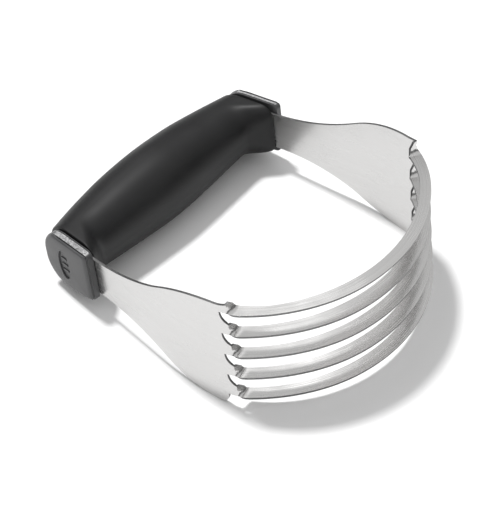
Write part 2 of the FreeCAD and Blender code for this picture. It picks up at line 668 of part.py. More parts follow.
def make_tab_gap():
    """The space between the inner faces of the two tabs, wider on the blade side."""
    body = new_body("tab_gap")
    sketch = sketch_on(body, "tab_gap_plan", "XY_Plane")
    palm_x, blade_x = size("gap_palm_x"), size("gap_blade_x")
    splay = math.radians(size("tab_splay_angle"))
    middle = size("tab_half_span") - size("sheet_thickness") / math.cos(splay)
    palm_y, blade_y = (middle + x * math.tan(splay) for x in (palm_x, blade_x))
    right = add_line(sketch, (palm_x, palm_y), (blade_x, blade_y))
    front = add_line(sketch, (blade_x, blade_y), (blade_x, -blade_y))
    left = add_line(sketch, (blade_x, -blade_y), (palm_x, -palm_y))
    back = add_line(sketch, (palm_x, -palm_y), (palm_x, palm_y))
    loop = [right, front, left, back]
    for here, following in zip(loop, loop[1:] + loop[:1]):
        rule(sketch, "Coincident", here, END, following, START)
    rule(sketch, "Symmetric", right, START, left, END, -1)
    rule(sketch, "Symmetric", right, END, left, START, -1)
    bind(sketch, cell("gap_palm_x"), "DistanceX", *ORIGIN_POINT, right, START, palm_x)
    bind(sketch, cell("gap_blade_x"), "DistanceX", *ORIGIN_POINT, right, END, blade_x)
    tangent = f"tan({cell('tab_splay_angle')} * 1deg)"
    inner = f"{cell('tab_half_span')} - {cell('sheet_thickness')} / cos({cell('tab_splay_angle')} * 1deg)"
    bind(sketch, f"{inner} + {cell('gap_palm_x')} * {tangent}", "DistanceY",
         *ORIGIN_POINT, right, START, palm_y)
    bind(sketch, f"{inner} + {cell('gap_blade_x')} * {tangent}", "DistanceY",
         *ORIGIN_POINT, right, END, blade_y)
    pad(body, sketch, cell("gap_height"), "tab_gap_pad", midplane=True)
    return body


def make_core_bar():
    """Rounded bar through the whole handle, longer than the gap that trims it."""
    body = new_body("core_bar")
    sketch = sketch_on(body, "core_bar_outline", "XZ_Plane")
    rounded_outline(sketch, "core_palm_x", "core_blade_x", "core_half_height", "core_edge_radius",
                    "core_edge_radius")
    pad(body, sketch, f"2 * {cell('core_half_length')}", "core_bar_pad", midplane=True)
    return body


def make_grip_blank():
    """Outer shape of the grip: fullest in the middle, waisted, then flared to meet the caps."""
    stations = [(name, -1) for name, *_ in reversed(GRIP_SECTIONS[1:])]
    stations += [(name, 1) for name, *_ in GRIP_SECTIONS]
    sections = []
    for name, side in stations:
        label = f"grip_{name}_{'left' if side < 0 else 'right'}"
        sketch = doc.addObject("Sketcher::SketchObject", label)
        rounded_outline(sketch, *(f"grip_{name}_{field}" for field in SECTION_FIELDS[1:]))
        sketch.Placement = FreeCAD.Placement(Vector(0, 0, 0), FreeCAD.Rotation(Vector(1, 0, 0), 90))
        sketch.setExpression("Placement.Base.y", f"{side} * {cell(f'grip_{name}_station')}")
        sections.append(sketch)
    blank = doc.addObject("Part::Loft", "grip_blank")
    blank.Sections = sections
    blank.Solid = True
    blank.Ruled = False
    return blank


# ---------------------------------------------------------------- nodes in the resting pose


def add_node(name, source, lift=None):
    """A finished piece: the tool-frame solid, moved into the resting pose."""
    node = doc.addObject("Part::Compound", name)
    node.Label = name
    node.Links = [source]
    lean = FreeCAD.Rotation(Vector(0, -1, 0), size("rest_angle"))
    node.Placement = FreeCAD.Placement(Vector(0, 0, 0), lean)
    node.setExpression("Placement.Rotation.Angle", cell("rest_angle"))
    rise = lift or "0"
    node.setExpression("Placement.Base.x",
                       f"{cell('rest_shift_x')} - ({rise}) * sin({cell('rest_angle')} * 1deg)")
    node.setExpression("Placement.Base.z",
                       f"{cell('rest_lift_z')} + ({rise}) * cos({cell('rest_angle')} * 1deg)")
    return node


def build():
    pegs_right = make_pegs("pegs_right", "peg_diameter")
    pegs_left = mirrored("pegs_left", pegs_right)
    cheek_right = make_cheek(make_pegs("peg_holes", "peg_hole_diameter"))
    cap_right = make_cap()
    blade = make_blade()

    tab_gap = make_tab_gap()
    core_bar = make_core_bar()
    core_trimmed = combine("Part::Common", "core_trimmed", core_bar, tab_gap)
    core = doc.addObject("Part::MultiFuse", "core_with_pegs")
    core.Shapes = [core_trimmed, pegs_right, pegs_left]
    grip_trimmed = combine("Part::Common", "grip_trimmed", make_grip_blank(), tab_gap)
    grip = combine("Part::Cut", "grip_hollow", grip_trimmed, core_bar)

    nodes = [
        add_node("handle_core", core),
        add_node("grip_sleeve", grip),
        add_node("end_cap_right", cap_right),
        add_node("end_cap_left", mirrored("cap_mirrored", cap_right)),
        add_node("cheek_right", cheek_right),
        add_node("cheek_left", mirrored("cheek_mirrored", cheek_right)),
    ]
    for number, step in enumerate(range(OUTERMOST, -OUTERMOST - 1, -1), start=1):
        nodes.append(add_node(f"blade_{number}", blade, f"{step} * {cell('blade_pitch')}"))
    return nodes


def check_document(nodes):
    doc.recompute()
    for item in doc.Objects:
        if "Invalid" in item.State or "Error" in item.State:
            raise RuntimeError(f"{item.Name} did not compute: {item.State}")
    for node in nodes:
        if node.Shape.isNull() or not node.Shape.isValid() or len(node.Shape.Solids) != 1:
            raise RuntimeError(f"{node.Label} is not one valid solid")


def export(nodes):
    os.makedirs("parts", exist_ok=True)
    for node in nodes:
        node.Shape.exportStep(f"parts/{node.Label}.step")
        box = node.Shape.BoundBox
        print(f"{node.Label:14s} volume {node.Shape.Volume:9.1f}  x {box.XMin:7.2f} {box.XMax:7.2f}"
              f"  y {box.YMin:7.2f} {box.YMax:7.2f}  z {box.ZMin:6.2f} {box.ZMax:6.2f}")


pieces = build()
check_document(pieces)
export(pieces)
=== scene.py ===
import bmesh
import bpy
import math
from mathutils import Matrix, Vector


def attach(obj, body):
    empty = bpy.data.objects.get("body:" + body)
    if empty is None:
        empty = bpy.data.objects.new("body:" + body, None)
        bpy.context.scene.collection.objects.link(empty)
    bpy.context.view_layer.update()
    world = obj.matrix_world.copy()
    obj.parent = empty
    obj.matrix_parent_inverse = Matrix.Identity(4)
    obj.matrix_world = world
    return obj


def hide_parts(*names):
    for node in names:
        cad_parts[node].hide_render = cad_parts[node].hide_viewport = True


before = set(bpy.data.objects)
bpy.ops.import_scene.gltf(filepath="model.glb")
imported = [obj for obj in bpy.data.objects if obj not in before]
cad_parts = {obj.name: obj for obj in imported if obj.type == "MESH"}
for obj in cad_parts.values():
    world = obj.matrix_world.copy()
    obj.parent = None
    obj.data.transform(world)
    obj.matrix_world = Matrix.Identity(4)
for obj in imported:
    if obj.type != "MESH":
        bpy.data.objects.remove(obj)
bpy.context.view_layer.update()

# A pastry blender at rest: soft grip, two plastic end caps, and one brushed steel stamping.
# Shapes are worked out in the tool frame, in millimetres: X from the handle to the blades,
# Y along the handle, Z up through the five blades.  to_row() turns a point into the resting pose.

MM = 0.001
REST_ANGLE = math.radians(6.86)
REST_X, REST_Z = -34.42, 17.437
scene = bpy.context.scene


def to_row(x, y, z):
    turned_x = x * math.cos(REST_ANGLE) - z * math.sin(REST_ANGLE)
    turned_z = x * math.sin(REST_ANGLE) + z * math.cos(REST_ANGLE)
    return Vector((REST_X + turned_x, y, REST_Z + turned_z)) * MM


def mix(a, b, share):
    return a + (b - a) * share


def smooth_step(low, high, value):
    share = min(max((value - low) / (high - low), 0), 1)
    return share * share * (3 - 2 * share)


# ---------------------------------------------------------------- materials

class Nodes:
    """A node material in the making: principled shader plus procedural detail."""

    def __init__(self, name, base, roughness, metallic=0.0, coordinates="Object"):
        self.material = bpy.data.materials.new(name)
        self.material.use_nodes = True
        self.tree = self.material.node_tree
        self.shader = self.tree.nodes["Principled BSDF"]
        self.shader.inputs["Base Color"].default_value = (*base, 1)
        self.shader.inputs["Roughness"].default_value = roughness
        self.shader.inputs["Metallic"].default_value = metallic
        self.place = self.tree.nodes.new("ShaderNodeTexCoord").outputs[coordinates]
        self.bump = None

    def link(self, output, target):
        self.tree.links.new(output, target)

    def noise(self, stretch, detail=3.0, roughness=0.55):
        """Noise whose grains are 1 / stretch metres long along each axis."""
        mapping = self.tree.nodes.new("ShaderNodeMapping")
        mapping.inputs["Scale"].default_value = stretch
        self.link(self.place, mapping.inputs["Vector"])
        texture = self.tree.nodes.new("ShaderNodeTexNoise")
        texture.inputs["Scale"].default_value = 1.0
        texture.inputs["Detail"].default_value = detail
        texture.inputs["Roughness"].default_value = roughness
        self.link(mapping.outputs["Vector"], texture.inputs["Vector"])
        return texture.outputs["Fac"]

    def band(self, source, low, high, start=0.3, end=0.7):
        """source between start and end, spread from low to high."""
        spread = self.tree.nodes.new("ShaderNodeMapRange")
        for socket, value in zip(("From Min", "From Max", "To Min", "To Max"), (start, end, low, high)):
            spread.inputs[socket].default_value = value
        self.link(source, spread.inputs["Value"])
        return spread.outputs["Result"]

    def add(self, first, second):
        node = self.tree.nodes.new("ShaderNodeMath")
        node.operation = "ADD"
        self.link(first, node.inputs[0])
        self.link(second, node.inputs[1])
        return node.outputs["Value"]

    def colour(self, source, low, high):
        ramp = self.tree.nodes.new("ShaderNodeValToRGB")
        ramp.color_ramp.elements[0].position = 0.3
        ramp.color_ramp.elements[1].position = 0.7
        ramp.color_ramp.elements[0].color = (*low, 1)
        ramp.color_ramp.elements[1].color = (*high, 1)
        self.link(source, ramp.inputs["Fac"])
        self.link(ramp.outputs["Color"], self.shader.inputs["Base Color"])

    def relief(self, source, height, strength=1.0):
        """Stacks a bump of that height, in metres, on the ones before it."""
        bump = self.tree.nodes.new("ShaderNodeBump")
        bump.inputs["Strength"].default_value = strength
        bump.inputs["Distance"].default_value = height
        self.link(source, bump.inputs["Height"])
        if self.bump:
            self.link(self.bump, bump.inputs["Normal"])
        self.bump = bump.outputs["Normal"]
        self.link(self.bump, self.shader.inputs["Normal"])


def brushed_steel():
    """Hairlines run along each strip; smears and rubbed patches change the gloss."""
    steel = Nodes("brushed_steel", (0.72, 0.72, 0.73), 0.28, 1.0, "UV")
    hairlines = steel.noise((18, 5200, 1), 4.0, 0.7)
    smears = steel.noise((60, 110, 1), 3.0)
    steel.colour(hairlines, (0.58, 0.575, 0.57), (0.67, 0.665, 0.66))
    gloss = steel.add(steel.band(hairlines, 0.17, 0.28), steel.band(smears, -0.01, 0.05))
    steel.link(gloss, steel.shader.inputs["Roughness"])
    steel.relief(hairlines, 0.000008, 0.7)
    steel.relief(smears, 0.00003, 0.15)
    return steel.material


def sheared_steel_painted_dark():
    """Cut edge of the sheet: darker and rougher than its faces, with fine tear marks. The darkness is
    painted shade, standing in for the dark reflection along the thin edge; the roughness and the tear marks
    are the cut's own.
    """
    edge = Nodes("sheared_edge_painted_dark", (0.16, 0.16, 0.16), 0.45, 1.0)
    tears = edge.noise((2500, 2500, 900), 3.0, 0.7)
    # Painted shade: these dark colours stand in for the dark reflection along the edge, and the spread
    # between them follows the tear marks.
    edge.colour(tears, (0.10, 0.10, 0.10), (0.24, 0.24, 0.24))
    edge.link(edge.band(tears, 0.38, 0.55), edge.shader.inputs["Roughness"])
    edge.relief(tears, 0.00002, 0.4)
    return edge.material


def soft_rubber():
    """Moulded rubber: fine grain, faint handling marks and a slightly dusty sheen."""
    rubber = Nodes("soft_rubber", (0.02, 0.02, 0.021), 0.46)
    grain = rubber.noise((3800, 3800, 3800), 2.0, 0.6)
    marks = rubber.noise((70, 45, 70), 3.0)
    rubber.colour(marks, (0.007, 0.007, 0.0074), (0.012, 0.012, 0.0126))
    gloss = rubber.add(rubber.band(marks, 0.42, 0.52), rubber.band(grain, -0.03, 0.05))
    rubber.link(gloss, rubber.shader.inputs["Roughness"])
    rubber.relief(grain, 0.00002, 0.35)
    rubber.shader.inputs["Specular IOR Level"].default_value = 0.32
    return rubber.material


def satin_plastic(name, low, high, roughness, grain_size, grain_height):
    """Hard plastic with the spark-eroded grain of its mould."""
    plastic = Nodes(name, low, roughness)
    grain = plastic.noise((1 / grain_size, 1 / grain_size, 1 / grain_size), 2.0, 0.6)
    wear = plastic.noise((160, 160, 160), 4.0)
    plastic.colour(wear, low, high)
    gloss = plastic.add(plastic.band(wear, roughness - 0.05, roughness + 0.06),
                        plastic.band(grain, -0.03, 0.05))
    plastic.link(gloss, plastic.shader.inputs["Roughness"])
    plastic.relief(grain, grain_height, 0.4)
    return plastic.material


def stippled_band():
    """The lighter, coarsely pebbled facet along the edge of each cap."""
    band = Nodes("cap_stipple", (0.16, 0.16, 0.165), 0.4)
    pebbles = band.noise((1500, 1500, 1500), 2.0, 0.65)
    band.colour(pebbles, (0.09, 0.09, 0.092), (0.50, 0.50, 0.505))
    band.link(band.band(pebbles, 0.28, 0.5), band.shader.inputs["Roughness"])
    band.relief(pebbles, 0.00012, 0.7)
    return band.material


STEEL = brushed_steel()
CUT_EDGE_PAINTED_DARK = sheared_steel_painted_dark()
RUBBER = soft_rubber()
CAP = satin_plastic("cap_satin", (0.05, 0.05, 0.052), (0.064, 0.064, 0.066), 0.36, 0.0003, 0.00003)
STIPPLE = stippled_band()
CORE = satin_plastic("core_moulding", (0.03, 0.03, 0.031), (0.045, 0.045, 0.046), 0.5, 0.0005, 0.00004)
for cad_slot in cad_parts["handle_core"].material_slots:
    cad_slot.material = CORE


def new_piece(name, mesh, node_names, materials):
    """A finished mesh that stands for those CAD nodes and rides with the body."""
    piece = bpy.data.objects.new(name, mesh)
    scene.collection.objects.link(piece)
    for material in materials:
        mesh.materials.append(material)
    for polygon in mesh.polygons:
        polygon.use_smooth = True
    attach(piece, "root")
    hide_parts(*node_names)
    return piece


def soften_edges(piece, width, angle, segments=2):
    """Rounds edges sharper than angle degrees by width metres."""
    bevel = piece.modifiers.new("edges", "BEVEL")
    bevel.width = width
    bevel.segments = segments
    bevel.limit_method = "ANGLE"
    bevel.angle_limit = math.radians(angle)
    bevel.harden_normals = True
    bevel.use_clamp_overlap = True


# ---------------------------------------------------------------- steel stamping

THICKNESS = 1.0
SPLAY = math.radians(6.3)
TAB_Y, TAB_X, TAB_HEIGHT, TAB_CORNER = 52.0, -21.0, 8.3, 3.0
BOW_RADIUS, CORNER_RADIUS = 126.0, 16.8
ARC_X, ARC_RADIUS, ARC_START = 35.6, 64.0, 54.2
TOP_FLARE_X, TOP_FLARE_RADIUS = -2.0, 88.0
LOW_FLARE_X, LOW_FLARE_RADIUS = 2.0, 75.0
BROW_X, BROW_Z, LIP_RADIUS = 64.0, 24.15, 16.0
TOE_X, LOW_Z, TOE_RADIUS = 65.8, 25.08, 4.0
SLOT_X, SLOT_RADIUS = 66.3, 5.5
SLOT_CURVE_X = SLOT_X + SLOT_RADIUS
PITCH, NECK_LIFT, NECK_HEIGHT = 10.24, 0.6, 4.3
BLADES = (-2, -1, 0, 1, 2)
TOP_BLADE = BLADES[-1]

# Directions that the outer face points in, seen from above, in degrees: 90 is straight to the
# side and 0 straight to the front.  The inner edge of a strip twists TWIST_LAG mm later for
# each mm that it lies in from the outer edge.
LIP_END, TWIST_START, TWIST_END, TWIST_LAG = 66.0, 71.0, 60.0, 0.24
BLADE_END, BLADE_FRONT = 50, 15

# Each blade at its ends and at its front: width, tilt in degrees, height of its outer edge.
END_WIDTH, END_TILT, END_EDGE = 4.8, 5, 0.29
FRONT_WIDTH, FRONT_TILT, FRONT_EDGE = 5.2, 15, -0.6

# The top blade grows narrower and stands further out, over that length of strip.
TOP_NARROWING, TOP_OUTSET, TOP_CHANGE_LENGTH = 0.8, 0.4, 18

# How finely the sheet is divided: rows across, and columns along.  Columns of the cheek are
# spaced in millimetres, columns of the neck and the blade by their directions in degrees.
STRIP_ROWS, TOE_ROWS = 4, 3
TAB_SPACING, CHEEK_SPACING, CHEEK_COLUMNS = 4.0, 2.6, 24
NECK_COLUMNS = (57.5, 55.8, 54.2, 53.6, 53.0, 52.4, 51.8, 51.0, 50.0, 48.5)
BLADE_COLUMNS, FIRST_BLADE_COLUMN, BLADE_SPACING = 21, 46.0, 2.3

# Added to the length along a strip, so that its UVs follow on from the cheek's, roughly.
STRIP_UV_SHIFT = 4

# In metres, as the modifiers take them.
WELD_DISTANCE, MIRROR_MERGE, STEEL_BEVEL = 0.00001, 0.00002, 0.00013


def pointing(turned):
    """Unit vector in plan at that angle from the front, in radians."""
    return Vector((math.cos(turned), math.sin(turned)))


def bow_geometry():
    """Centres of the bow and the corner, each tangent to its neighbours, seen from above."""
    along = pointing(SPLAY)
    outward = Vector((-math.sin(SPLAY), math.cos(SPLAY)))
    corner = Vector((ARC_X, 0)) + pointing(math.radians(ARC_START)) * (ARC_RADIUS - CORNER_RADIUS)
    level = outward * (TAB_Y * math.cos(SPLAY) - BOW_RADIUS)
    reach = corner - level
    half = reach.dot(along)
    slide = half - math.sqrt(half ** 2 - reach.dot(reach) + (BOW_RADIUS - CORNER_RADIUS) ** 2)
    return level + along * slide, corner


BOW_CENTRE, CORNER_CENTRE = bow_geometry()
BOW_START_X = BOW_CENTRE.x - BOW_RADIUS * math.sin(SPLAY)
BOW_END_X = BOW_CENTRE.x + (CORNER_CENTRE - BOW_CENTRE).normalized().x * BOW_RADIUS


def plan_y(x):
    """Outer face of the right-hand cheek, seen from above."""
    if x < BOW_START_X:
        return TAB_Y + x * math.tan(SPLAY)
    if x < BOW_END_X:
        return BOW_CENTRE.y + math.sqrt(BOW_RADIUS ** 2 - (x - BOW_CENTRE.x) ** 2)
    return CORNER_CENTRE.y + math.sqrt(CORNER_RADIUS ** 2 - (x - CORNER_CENTRE.x) ** 2)


def rim_point(angle, radius=ARC_RADIUS):
    """Outer face of the neck and the blade where it points along that angle, in degrees."""
    turned = math.radians(angle)
    if angle > ARC_START:
        return CORNER_CENTRE + pointing(turned) * CORNER_RADIUS
    return Vector((ARC_X, 0)) + pointing(turned) * radius


def neck_length(angle):
    """Length of sheet from the start of the twist to that angle."""
    in_corner = math.radians(TWIST_START - max(angle, ARC_START)) * CORNER_RADIUS
    return in_corner + math.radians(max(ARC_START - angle, 0)) * ARC_RADIUS


def s_edge(x, start, end, radius):
    """Height at x of two tangent arcs, level at start and at end."""
    (start_x, start_z), (end_x, end_z) = start, end
    turn = 2 * math.atan2(end_z - start_z, end_x - start_x)
    second = (end_x - start_x) / math.sin(turn) - radius
    if x <= start_x:
        return start_z
    if x < start_x + radius * math.sin(turn):
        return start_z + radius - math.sqrt(radius ** 2 - (x - start_x) ** 2)
    return end_z - second + math.sqrt(second ** 2 - (end_x - min(x, end_x)) ** 2)


def top_edge(x):
    """Upper edge of the cheek: along the tab, out to the brow, then up the lip."""
    if x > BROW_X:
        return BROW_Z + LIP_RADIUS - math.sqrt(LIP_RADIUS ** 2 - (x - BROW_X) ** 2)
    flare = s_edge(x, (TOP_FLARE_X, TAB_HEIGHT), (BROW_X, BROW_Z), TOP_FLARE_RADIUS)
    return flare - tab_rounding(x)


def low_edge(x):
    """Lower edge of the cheek, before its toe is rounded."""
    return tab_rounding(x) - s_edge(x, (LOW_FLARE_X, TAB_HEIGHT), (TOE_X, LOW_Z), LOW_FLARE_RADIUS)


def tab_rounding(x):
    """How far the tab's rounded corners bring its edges in."""
    into = max(TAB_X + TAB_CORNER - x, 0)
    return TAB_CORNER - math.sqrt(TAB_CORNER ** 2 - into ** 2)


def toe_edge(x):
    """Lower edge of the cheek with its rounded toe."""
    turn = 2 * math.atan2(LOW_Z - TAB_HEIGHT, TOE_X - LOW_FLARE_X)
    brow = (TOE_X - LOW_FLARE_X) / math.sin(turn) - LOW_FLARE_RADIUS
    toe_z = brow - LOW_Z - math.sqrt((brow - TOE_RADIUS) ** 2 - TOE_RADIUS ** 2)
    if x < TOE_X - TOE_RADIUS * brow / (brow - TOE_RADIUS):
        return low_edge(x)
    return toe_z - math.sqrt(max(TOE_RADIUS ** 2 - (x - TOE_X + TOE_RADIUS) ** 2, 0))


def cheek_columns():
    """Where the columns of the cheek lie, closest together round the tab's corners and the toe."""
    columns = [TAB_X + TAB_CORNER * (1 - math.cos(math.radians(angle))) for angle in range(0, 91, 15)]
    columns += [TOP_FLARE_X - TAB_SPACING * step for step in (3, 2, 1, 0)]
    columns += [TOP_FLARE_X + CHEEK_SPACING * step for step in range(1, CHEEK_COLUMNS + 1)]
    columns += [TOE_X - TOE_RADIUS * math.cos(math.radians(angle)) for angle in range(5, 90, 12)]
    return columns + [TOE_X, SLOT_X]


def band_edges(blade, x):
    """Lower and upper edge of one strip's share of the cheek."""
    low, high = low_edge(x), top_edge(x)
    low_end, high_end = -LOW_Z, top_edge(SLOT_X)
    edges = [blade * PITCH + NECK_LIFT, (blade + 1) * PITCH + NECK_LIFT]
    shares = [min((edge - low_end) / (high_end - low_end), 1) for edge in edges]
    return [mix(low, high, share) for share in shares]


def strip_angles():
    """Where the columns of a strip lie, from the root of the slot to the middle of the blade."""
    roots = [SLOT_CURVE_X - SLOT_RADIUS * math.cos(math.radians(angle)) for angle in range(8, 91, 8)]
    angles = [math.degrees(math.acos((x - CORNER_CENTRE.x) / CORNER_RADIUS)) for x in roots]
    angles += NECK_COLUMNS
    return angles + [FIRST_BLADE_COLUMN - BLADE_SPACING * step for step in range(BLADE_COLUMNS)]


def front_share(angle):
    """0 at the ends of a blade and 1 at its front."""
    return 1 - smooth_step(BLADE_FRONT, BLADE_END, angle)


def strip_height(blade, angle):
    """Width of the strip, which is its height above its lower edge before it twists."""
    x = rim_point(angle).x
    if angle > LIP_END and blade == TOP_BLADE:
        return top_edge(x) - blade * PITCH - NECK_LIFT
    if x < SLOT_CURVE_X and angle > ARC_START:
        return NECK_HEIGHT + SLOT_RADIUS - math.sqrt(SLOT_RADIUS ** 2 - (SLOT_CURVE_X - x) ** 2)
    wide = mix(END_WIDTH, FRONT_WIDTH, front_share(angle))
    if blade == TOP_BLADE:
        wide -= TOP_NARROWING * smooth_step(0, TOP_CHANGE_LENGTH, neck_length(angle))
    return mix(NECK_HEIGHT, wide, smooth_step(0, neck_length(TWIST_END), neck_length(angle)))


def strip_point(blade, angle, share):
    """A point of the strip's outer face: share 0 on its outer edge, 1 on its inner edge."""
    radius = ARC_RADIUS
    if blade == TOP_BLADE:
        radius += TOP_OUTSET * smooth_step(0, TOP_CHANGE_LENGTH, neck_length(angle))
    corner = rim_point(angle, radius)
    front = front_share(angle)
    inward = -pointing(math.radians(angle))
    reach = strip_height(blade, angle) * share
    along = max(neck_length(angle) - TWIST_LAG * reach, 0) / neck_length(TWIST_END)
    twist = 1.0 if along >= 1 else along * (2 - along)
    lean = math.radians((90 - mix(END_TILT, FRONT_TILT, front)) * twist)
    done = smooth_step(0, neck_length(TWIST_END), neck_length(angle))
    edge_z = blade * PITCH + mix(NECK_LIFT, mix(END_EDGE, FRONT_EDGE, front), done)
    flat = corner + inward * (reach * math.sin(lean))
    return flat.x, flat.y, edge_z + reach * math.cos(lean)


def steel_mesh():
    """Right half of the stamping as one open surface, brushed along its UV, in metres.

    U is x on the cheek and the length of sheet on a strip; V is the height before the twist.
    """
    shell = bmesh.new()
    grain = shell.loops.layers.uv.new("grain")
    columns = cheek_columns()

    def add_grid(grid):
        """Quads between columns of ((x, y, z), (u, v)) points."""
        verts = [[shell.verts.new(to_row(*point)) for point, _ in column] for column in grid]
        for here, there in zip(range(len(grid)), range(1, len(grid))):
            for row in range(len(grid[here]) - 1):
                places = ((here, row), (there, row), (there, row + 1), (here, row + 1))
                face = shell.faces.new([verts[i][j] for i, j in reversed(places)])
                for loop, (i, j) in zip(face.loops, reversed(places)):
                    loop[grain].uv = Vector(grid[i][j][1]) * MM

    def cheek_column(x, low, high, rows):
        heights = [mix(low, high, row / rows) for row in range(rows + 1)]
        return [((x, plan_y(x), z), (x, z)) for z in heights]

    toe_top = [band_edges(BLADES[0], x)[0] for x in columns]
    toe_columns = [(x, top) for x, top in zip(columns, toe_top) if x <= TOE_X]
    add_grid([cheek_column(x, toe_edge(x), top, TOE_ROWS) for x, top in toe_columns])
    for blade in BLADES:
        grid = [cheek_column(x, *band_edges(blade, x), STRIP_ROWS) for x in columns]
        grid[-1] = cheek_column(SLOT_X, blade * PITCH + NECK_LIFT,
                                min((blade + 1) * PITCH + NECK_LIFT, top_edge(SLOT_X)), STRIP_ROWS)
        for angle in strip_angles():
            length = SLOT_X + neck_length(angle) + STRIP_UV_SHIFT
            height = strip_height(blade, angle)
            grid.append([(strip_point(blade, angle, row / STRIP_ROWS),
                          (length, blade * PITCH + height * row / STRIP_ROWS))
                         for row in range(STRIP_ROWS + 1)])
        add_grid(grid)
    bmesh.ops.remove_doubles(shell, verts=shell.verts, dist=WELD_DISTANCE)
    mesh = bpy.data.meshes.new("steel_stamping")
    shell.to_mesh(mesh)
    shell.free()
    return mesh


cad_steel = ["cheek_right", "cheek_left", "blade_1", "blade_2", "blade_3", "blade_4", "blade_5"]
steel = new_piece("steel_stamping", steel_mesh(), cad_steel, [STEEL, CUT_EDGE_PAINTED_DARK])
other_half = steel.modifiers.new("other_half", "MIRROR")
other_half.use_axis = (False, True, False)
other_half.merge_threshold = MIRROR_MERGE
sheet = steel.modifiers.new("sheet", "SOLIDIFY")
sheet.thickness = THICKNESS * MM
sheet.offset = -1.0
# The rim faces take the second material, the cut edge with its painted dark shade.
sheet.material_offset_rim = 1
soften_edges(steel, STEEL_BEVEL, 45)

# ---------------------------------------------------------------- grip and caps

CORNER_STEPS, SIDE_STEPS = 12, 6
SMALLEST_RADIUS = 0.3


def outline(palm_x, blade_x, half_height, palm_radius, blade_radius):
    """Rounded outline with flat top and bottom, as points (x, z), the same number every time."""
    corners = [
        (blade_x - blade_radius, half_height - blade_radius, blade_radius, 0),
        (palm_x + palm_radius, half_height - palm_radius, palm_radius, 90),
        (palm_x + palm_radius, palm_radius - half_height, palm_radius, 180),
        (blade_x - blade_radius, blade_radius - half_height, blade_radius, 270),
    ]
    arcs = []
    for x, z, radius, start in corners:
        angles = [math.radians(start + 90 * step / CORNER_STEPS) for step in range(CORNER_STEPS + 1)]
        arcs.append([(x + radius * math.cos(angle), z + radius * math.sin(angle)) for angle in angles])
    points = []
    for arc, following in zip(arcs, arcs[1:] + arcs[:1]):
        (last_x, last_z), (next_x, next_z) = arc[-1], following[0]
        shares = [step / SIDE_STEPS for step in range(1, SIDE_STEPS)]
        points += arc + [(mix(last_x, next_x, share), mix(last_z, next_z, share)) for share in shares]
    return points


def inset_outline(shape, inset):
    """The outline of that shape, moved in by inset on every side."""
    palm_x, blade_x, half_height, palm_radius, blade_radius = shape
    return outline(palm_x + inset, blade_x - inset, half_height - inset,
                   max(palm_radius - inset, SMALLEST_RADIUS), max(blade_radius - inset, SMALLEST_RADIUS))


def skin_loops(shell, loops, wrap=False):
    """Quads between closed loops of points; returns the vertices and faces of each row."""
    verts = [[shell.verts.new(to_row(*point)) for point in loop] for loop in loops]
    pairs = list(zip(verts, verts[1:] + (verts[:1] if wrap else [])))
    rows = []
    for here, there in pairs:
        count = len(here)
        rows.append([shell.faces.new((here[i], there[i], there[(i + 1) % count], here[(i + 1) % count]))
                     for i in range(count)])
    return verts, rows


# Distance from the middle of the grip, then the five values that outline() takes there.
GRIP_SECTIONS = [
    (0.0, -32.5, -3.5, 15.2, 13.7, 13.5),
    (18.0, -31.9, -4.3, 14.3, 12.9, 12.7),
    (32.0, -30.3, -5.2, 13.0, 11.9, 11.5),
    (41.0, -28.8, -5.6, 12.3, 11.4, 10.6),
    (48.6, -26.9, -1.0, 12.0, 10.6, 6.0),
    (56.0, -25.4, 0.5, 12.0, 10.5, 3.6),
]
CORE_SHAPE = (-22.5, -7.0, 8.5, 3.0, 3.0)
GRIP_LOOPS, GRIP_EDGE, GRIP_BEVEL = 64, 0.6, 0.0002
GRIP_EDGE_ANGLES = (90, 65, 40, 20)
STATION_X = -15


def cubic(start, slope_in, end, slope_out, share):
    """Smooth value between start and end; the slopes are per whole span."""
    return ((2 * share ** 3 - 3 * share ** 2 + 1) * start
            + (share ** 3 - 2 * share ** 2 + share) * slope_in
            + (3 * share ** 2 - 2 * share ** 3) * end
            + (share ** 3 - share ** 2) * slope_out)


def slope(past, here, beyond, reach):
    """Slope at here from the values on both sides, level where they turn back."""
    return (beyond - past) / reach if (here - past) * (beyond - here) > 0 else 0


def grip_shape(station):
    """Cross-section at that distance from the middle, smooth through the sections."""
    sections = [(-GRIP_SECTIONS[1][0], *GRIP_SECTIONS[1][1:])] + GRIP_SECTIONS
    index = 1
    while index < len(sections) - 2 and station > sections[index + 1][0]:
        index += 1
    before, start, end = sections[index - 1], sections[index], sections[index + 1]
    after = sections[min(index + 2, len(sections) - 1)]
    span = end[0] - start[0]
    share = (station - start[0]) / span
    shape = []
    for past, here, there, beyond in zip(before[1:], start[1:], end[1:], after[1:]):
        slope_in = slope(past, here, there, end[0] - before[0]) * span
        slope_out = slope(here, there, beyond, after[0] - start[0]) * span
        shape.append(cubic(here, slope_in, there, slope_out, share))
    return shape


def grip_end(x):
    """Distance from the middle to the inner face of the tab at x."""
    return TAB_Y - THICKNESS / math.cos(SPLAY) + x * math.tan(SPLAY)


def grip_loop(share, inset=0.0):
    """One loop round the grip; share runs from -1 at the left tab to 1 at the right one."""
    station = abs(share) * grip_end(STATION_X)
    rough = inset_outline(grip_shape(station), inset)
    points = []
    for index, (rough_x, _) in enumerate(rough):
        x, z = inset_outline(grip_shape(abs(share) * grip_end(rough_x)), inset)[index]
        points.append((x, share * grip_end(x), z))
    return points


